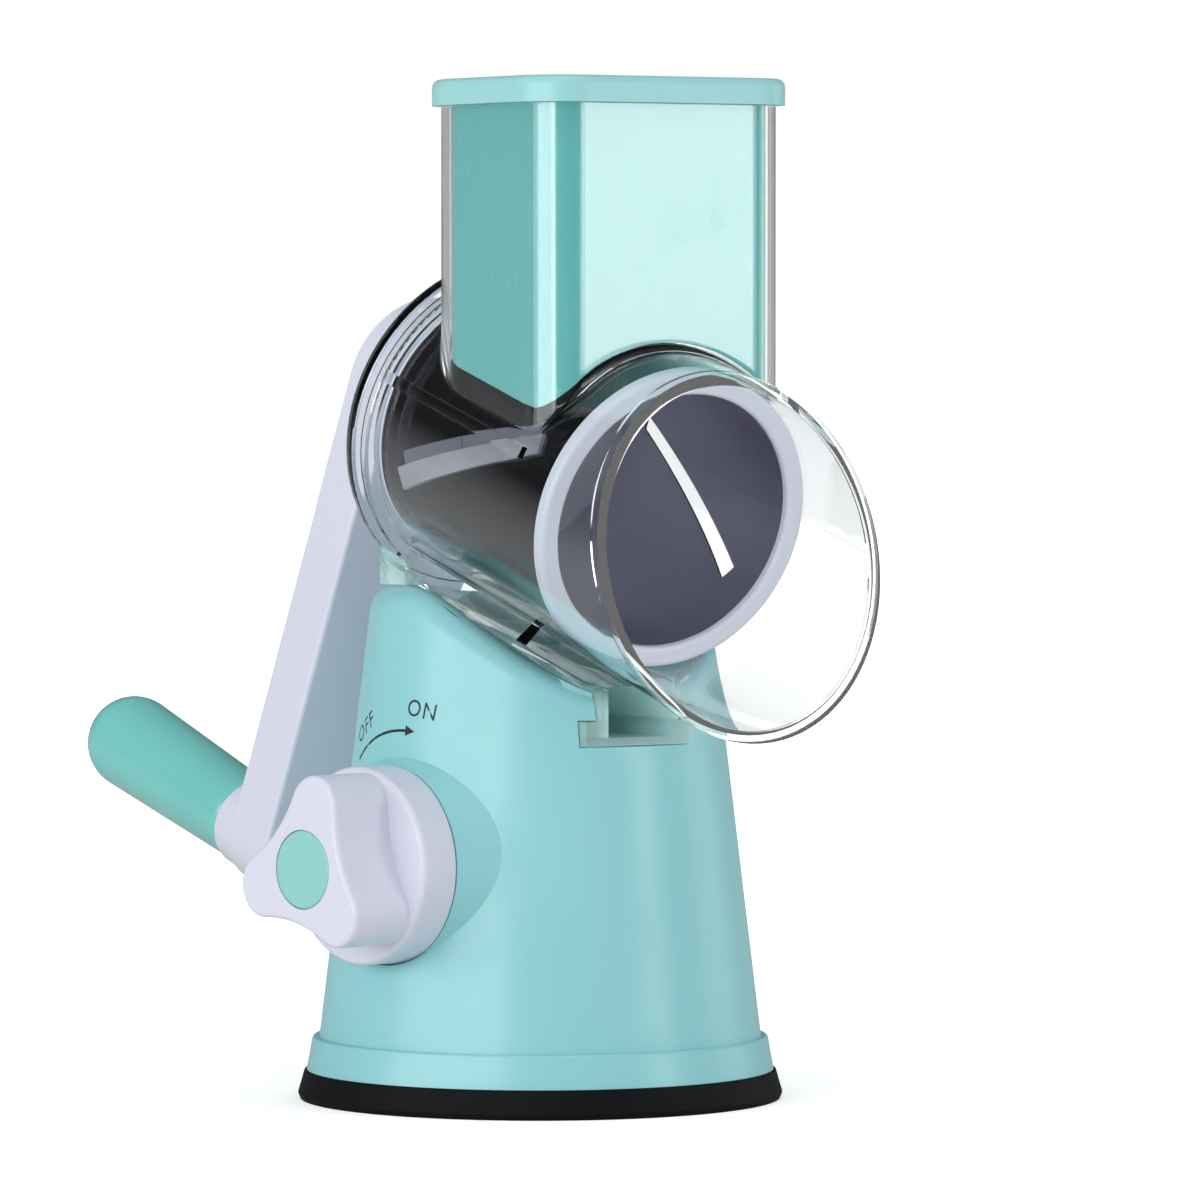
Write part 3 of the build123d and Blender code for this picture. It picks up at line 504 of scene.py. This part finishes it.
class Wardrobe:
    """Makes each finish once and puts it on the pieces."""

    def __init__(self, frame: dict[str, Any], drum: Axis3) -> None:
        """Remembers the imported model's nodes and slots, and the drum's axis."""
        self.drum = drum
        self.nodes = frame["nodes"]
        self.slots = {part["node"]: part["material_slot"] for part in frame["record"]["subparts"]}
        self.made: dict[Finish, bpy.types.Material] = {}

    def material(self, finish: Finish) -> bpy.types.Material:
        """The material of a finish, made on first use."""
        if finish not in self.made:
            self.made[finish] = finish.value.make(self.drum)
        return self.made[finish]

    def dress_nodes(self) -> None:
        """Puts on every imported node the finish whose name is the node's slot."""
        by_name = {finish.value.name: finish for finish in Finish}
        for name, node in self.nodes.items():
            finish = by_name[self.slots[name]]
            for slot in node.material_slots:
                slot.material = self.material(finish)
            log.info("dressed %s in %s", name, finish.value.name)

    def dress(self, piece: bpy.types.Object, finish: Finish, body: str) -> None:
        """Finishes a new piece and lets it ride.

        Args:
            piece: The new piece, in place.
            finish: Its finish.
            body: The body it moves with.
        """
        piece.data.materials.clear()
        piece.data.materials.append(self.material(finish))
        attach(piece, body)
        log.info("piece %s rides on %s in %s", piece.name, body, finish.value.name)


# ---------------------------------------------------------------- meshes
def make_piece(name: str, points: Array, faces: Array | list) -> bpy.types.Object:
    """Puts worked-out points and flat faces into a new object at the origin.

    Args:
        name: The piece's name.
        points: Points as rows of x, y, z.
        faces: Faces as rows of point numbers.

    Returns:
        The new object.
    """
    mesh = bpy.data.meshes.new(name)
    mesh.from_pydata(np.asarray(points).reshape(-1, 3).tolist(), [], np.asarray(faces).tolist())
    mesh.update()
    piece = bpy.data.objects.new(name, mesh)
    bpy.context.scene.collection.objects.link(piece)
    return piece


def grid_faces(rows: int, columns: int) -> Array:
    """Quads between neighbouring points of a grid stored row by row.

    Args:
        rows: Number of rows of points.
        columns: Number of points in each row.

    Returns:
        Faces as rows of four point numbers.
    """
    i, j = np.meshgrid(np.arange(rows - 1), np.arange(columns - 1), indexing="ij")
    corner = i * columns + j
    return np.stack((corner, corner + 1, corner + columns + 1, corner + columns), axis=-1).reshape(-1, 4)


# ---------------------------------------------------------------- sub-assemblies
@dataclass
class LockMark:
    """Printed mark beside the lock knob: a curved arrow between the words OFF and ON.

    It is drawn flat, with the knob's centre as its middle, u to the right and v up, and then wrapped round
    the cone. Sizes are in metres and angles in degrees, clockwise from straight up.

    Attributes:
        arrow_radius: Radius of the arrow's arc.
        arrow_start: Angle of the arrow's tail.
        arrow_end: Angle of its tip.
        line_width: Width of its shaft.
        head_length: Length of its head along the arc.
        head_width: Width of its head at the back.
        tip_width: Width that is left at the tip.
        capital_height: Height of a capital letter.
        capital_share: Height of a capital as a share of the font's size.
        letter_space: Space between letters, where 1 is the font's own.
        words: Each word with its angle and the radius of its middle.
        ink_thickness: Thickness of the printed ink.
        lift: How far the ink's middle stands proud of the cone.
        shaft_rows: Rows of points along the shaft.
        head_rows: Rows of points along the head.
        cone_head: Radius and height of the cone's upper end.
    """

    arrow_radius: float = 36.9 * MM
    arrow_start: float = -41.0
    arrow_end: float = 6.0
    line_width: float = 0.75 * MM
    head_length: float = 3.4 * MM
    head_width: float = 3.0 * MM
    tip_width: float = 0.125 * MM
    capital_height: float = 4.6 * MM
    capital_share: float = 0.7
    letter_space: float = 1.15
    words: tuple[tuple[str, float, float], ...] = (("ON", 8.0, 43.0 * MM), ("OFF", -30.5, 42.6 * MM))
    ink_thickness: float = 0.05 * MM
    lift: float = 0.02 * MM
    shaft_rows: int = 40
    head_rows: int = 6
    cone_head: tuple[float, float] = (47.2 * MM, 145.0 * MM)

    def arrow(self) -> tuple[Array, Array]:
        """Flat arrow.

        The shaft is a strip whose width is w(t) either side of a circle's arc. Past the shaft's end the
        strip jumps to the head's width and falls to nothing in a straight line.

        Returns:
            Points as (u, v), two to a row, and the quads between the rows.
        """
        head_angle = math.degrees(self.head_length / self.arrow_radius)
        shaft_end = self.arrow_end - head_angle
        angle = np.concatenate([np.linspace(self.arrow_start, shaft_end, self.shaft_rows),
                                np.linspace(shaft_end, self.arrow_end, self.head_rows)])
        half = np.concatenate([np.full(self.shaft_rows, self.line_width),
                               np.linspace(self.head_width, self.tip_width, self.head_rows)])[:, None] / 2
        turn = np.radians(angle)
        out = np.stack([np.sin(turn), np.cos(turn)], axis=-1)
        rows = np.stack([(self.arrow_radius + half) * out, (self.arrow_radius - half) * out], axis=1)
        return rows.reshape(-1, 2), grid_faces(len(angle), 2)

    def word(self, text: str, angle: float, radius: float) -> tuple[Array, list]:
        """Flat word, turned so that its foot points at the knob's centre.

        Args:
            text: The word.
            angle: Where its middle stands round the knob.
            radius: How far out its middle is.

        Returns:
            Points as (u, v) and faces.
        """
        curve = bpy.data.curves.new(text, "FONT")
        curve.body = text
        curve.size = self.capital_height / self.capital_share
        curve.align_x, curve.align_y = "CENTER", "CENTER"
        curve.space_character = self.letter_space
        holder = bpy.data.objects.new(text, curve)
        bpy.context.scene.collection.objects.link(holder)
        shown = holder.evaluated_get(bpy.context.evaluated_depsgraph_get())
        mesh = bpy.data.meshes.new_from_object(shown)
        flat = np.empty(len(mesh.vertices) * 3)
        mesh.vertices.foreach_get("co", flat)
        faces = [list(face.vertices) for face in mesh.polygons]
        bpy.data.objects.remove(holder)
        bpy.data.meshes.remove(mesh)
        u, v = flat.reshape(-1, 3)[:, 0], flat.reshape(-1, 3)[:, 1] + radius
        turn = math.radians(angle)
        turned = [u * math.cos(turn) + v * math.sin(turn), v * math.cos(turn) - u * math.sin(turn)]
        return np.stack(turned, axis=-1), faces

    def wrap(self, flat: Array, lock: Axis3) -> Array:
        """Lays flat points round the cone.

        The cone's radius falls in a straight line from its foot, where the base body is widest, to its
        head. u becomes an angle about Z: the knob's azimuth plus u over the radius there.

        Args:
            flat: Points as (u, v).
            lock: The lock knob's axis.

        Returns:
            Points as (x, y, z), the ink's lift proud of the cone.
        """
        low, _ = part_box("base_body")
        foot_radius, foot_height = -low.x, low.z
        head_radius, head_height = self.cone_head
        height = flat[:, 1] + lock.place[2]
        rise = (height - foot_height) / (head_height - foot_height)
        radius = foot_radius + (head_radius - foot_radius) * rise + self.lift
        outward = math.atan2(-lock.along[1], -lock.along[0])
        angle = outward + flat[:, 0] / radius
        return np.stack([radius * np.cos(angle), radius * np.sin(angle), height], axis=-1)

    def build(self, wardrobe: Wardrobe, lock: Axis3) -> None:
        """Makes the three printed pieces on the cone."""
        drawings = {"mark_arrow": self.arrow()}
        for text, angle, radius in self.words:
            drawings[f"mark_{text.lower()}"] = self.word(text, angle, radius)
        for name, (flat, faces) in drawings.items():
            piece = make_piece(name, self.wrap(flat, lock), faces)
            thick = piece.modifiers.new("ink", "SOLIDIFY")
            thick.thickness = self.ink_thickness
            thick.offset = 0.0
            wardrobe.dress(piece, Finish.INK, "base")


# ---------------------------------------------------------------- studio
@dataclass(frozen=True)
class Softbox:
    """A rectangular lamp that faces the machine.

    Attributes:
        name: The lamp's name.
        azimuth: Degrees round from -Y, positive towards +X.
        distance: Metres from the machine, along the floor.
        height: Metres above the floor.
        size: Its width and height.
        glow: Its radiance, where 1 is the background's white.
    """

    name: str
    azimuth: float
    distance: float
    height: float
    size: tuple[float, float]
    glow: float

    def place(self, aim: Vector) -> None:
        """Puts the lamp up, facing aim."""
        lamp = bpy.data.lights.new(self.name, "AREA")
        lamp.shape = "RECTANGLE"
        lamp.size, lamp.size_y = self.size
        lamp.energy = self.glow * math.pi * self.size[0] * self.size[1]
        turn = math.radians(self.azimuth)
        holder = bpy.data.objects.new(self.name, lamp)
        holder.location = (self.distance * math.sin(turn), -self.distance * math.cos(turn), self.height)
        holder.rotation_euler = (aim - holder.location).to_track_quat("-Z", "Y").to_euler()
        bpy.context.scene.collection.objects.link(holder)


@dataclass
class Studio:
    """White floor, soft lamps and the camera.

    Brightness is radiance, where 1 is the background's white.

    Attributes:
        camera_spot: Where the camera stands, in metres.
        camera_aim: The point it looks at.
        lens: Its focal length over a 36 mm sensor, in millimetres.
        floor_half: Half of the floor's side, in metres.
        floor_tone: Share of lamp light that the floor sends back.
        floor_mirrored: The same share, and the floor's own glow, as the machine's gloss mirrors them.
        glow_span: Distances from the machine between which the floor's glow rises, in metres.
        glow_near: The floor's glow at the first of these; it is 1 at the second.
        ambient: Brightness of the surroundings as light.
        horizon: Their brightness in the machine's gloss, at the horizon.
        ceiling: The same higher up.
        ceiling_rise: Upward share of a direction at which the ceiling begins.
        deep_light: Most faces that one ray of light may cross.
        softboxes: The lamps.
    """

    camera_spot: tuple[float, float, float] = (-1.166, -1.866, 0.220)
    camera_aim: tuple[float, float, float] = (0.0143, -0.0090, 0.1405)
    lens: float = 234.0
    floor_half: float = 6.0
    floor_tone: float = 0.80
    floor_mirrored: float = 0.25
    glow_span: tuple[float, float] = (0.10, 0.75)
    glow_near: float = 0.45
    ambient: float = 0.60
    horizon: float = 0.35
    ceiling: float = 0.06
    ceiling_rise: float = 0.20
    deep_light: int = 32
    softboxes: tuple[Softbox, ...] = (
        Softbox("left_box", -84, 1.5, 0.36, (1.5, 0.5), 3.5),
        Softbox("strip_box", -55, 1.5, 0.35, (0.22, 0.9), 4.4),
        Softbox("right_box", 32, 2.0, 0.50, (0.45, 0.8), 4.3),
        Softbox("side_box", 78, 1.6, 0.40, (0.8, 0.8), 1.2),
        Softbox("top_box", -20, 0.6, 1.9, (1.4, 1.4), 1.0),
    )

    def camera(self) -> None:
        """Sets the camera up as the photograph was taken."""
        data = bpy.data.cameras.new("camera")
        data.lens = self.lens
        data.sensor_width = 36.0
        data.clip_end = 50.0
        holder = bpy.data.objects.new("camera", data)
        holder.location = self.camera_spot
        sight = Vector(self.camera_aim) - Vector(self.camera_spot)
        holder.rotation_euler = sight.to_track_quat("-Z", "Y").to_euler()
        bpy.context.scene.collection.objects.link(holder)
        bpy.context.scene.camera = holder

    def floor(self) -> None:
        """Pale floor that shows white to the camera and keeps the machine's shadow."""
        material, sketch, out, spot = new_material("floor_white")
        direct, mirrored = direct_look(sketch), mirrored_look(sketch)
        away = sketch.length(spot.outputs["Object"])
        far_white = sketch.span(away, *self.glow_span, self.glow_near, 1.0)
        seen = sketch.math("MAXIMUM", direct, sketch.math("MULTIPLY", mirrored, self.floor_mirrored))
        strength = sketch.math("MULTIPLY", seen, far_white)
        glow = sketch.add("ShaderNodeEmission", {"Color": WHITE, "Strength": strength})
        tone = sketch.choose(mirrored, self.floor_tone, self.floor_mirrored)
        matt = sketch.add("ShaderNodeBsdfDiffuse", {"Color": tone})
        both = sketch.add("ShaderNodeAddShader", {0: matt.outputs[0], 1: glow.outputs[0]})
        sketch.tree.links.new(both.outputs[0], out.inputs["Surface"])
        half = self.floor_half
        corners = np.array([[-half, -half, 0], [half, -half, 0], [half, half, 0], [-half, half, 0]])
        floor = make_piece("floor", corners, [[0, 1, 2, 3]])
        floor.data.materials.append(material)

    def world(self) -> None:
        """White surroundings for the camera and through clear pieces, darker where they are mirrored."""
        world = bpy.data.worlds.new("studio")
        bpy.context.scene.world = world
        world.use_nodes = True
        world.node_tree.nodes.clear()
        sketch = Sketch(world.node_tree)
        out = sketch.add("ShaderNodeOutputWorld")
        spot = sketch.add("ShaderNodeTexCoord")
        rise = sketch.add("ShaderNodeSeparateXYZ", {0: spot.outputs["Generated"]}).outputs["Z"]
        overhead = sketch.span(rise, 0.0, self.ceiling_rise, self.horizon, self.ceiling)
        unseen = sketch.choose(mirrored_look(sketch), self.ambient, overhead)
        strength = sketch.choose(direct_look(sketch), unseen, 1.0)
        glow = sketch.add("ShaderNodeBackground", {"Color": WHITE, "Strength": strength})
        sketch.tree.links.new(glow.outputs[0], out.inputs["Surface"])

    def build(self) -> None:
        """Puts up the whole studio."""
        self.camera()
        self.floor()
        self.world()
        for softbox in self.softboxes:
            softbox.place(Vector(self.camera_aim))
        scene = bpy.context.scene
        scene.view_settings.view_transform = "Standard"
        scene.cycles.max_bounces = scene.cycles.transmission_bounces = self.deep_light
        scene.cycles.transparent_max_bounces = self.deep_light


def direct_look(sketch: Sketch) -> bpy.types.NodeSocket:
    """1 for camera rays, also through clear pieces, and 0 for all others and after a single mirroring."""
    path = sketch.add("ShaderNodeLightPath")
    mirrored_once = sketch.math("COMPARE", path.outputs["Glossy Depth"], 1.0, 0.5)
    unmirrored = sketch.math("SUBTRACT", 1.0, mirrored_once)
    through = sketch.math("MULTIPLY", path.outputs["Is Transmission Ray"], unmirrored)
    return sketch.math("MAXIMUM", path.outputs["Is Camera Ray"], through)


def mirrored_look(sketch: Sketch) -> bpy.types.NodeSocket:
    """1 for rays that a face has mirrored, also when they crossed clear plastic after that."""
    path = sketch.add("ShaderNodeLightPath")
    return sketch.math("MAXIMUM", path.outputs["Is Glossy Ray"], path.outputs["Is Transmission Ray"])


def main() -> None:
    """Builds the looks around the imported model."""
    logging.basicConfig(level=logging.INFO, format="%(name)s: %(message)s")
    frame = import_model()
    wardrobe = Wardrobe(frame, Axis3.of_joint(frame, "crank_spin", (1, 0, 0)))
    wardrobe.dress_nodes()
    lock = Axis3.of_joint(frame, "lock_turn", (0, 0, 1))
    LockMark().build(wardrobe, lock)
    Studio().build()


if __name__ == "__main__":
    main()
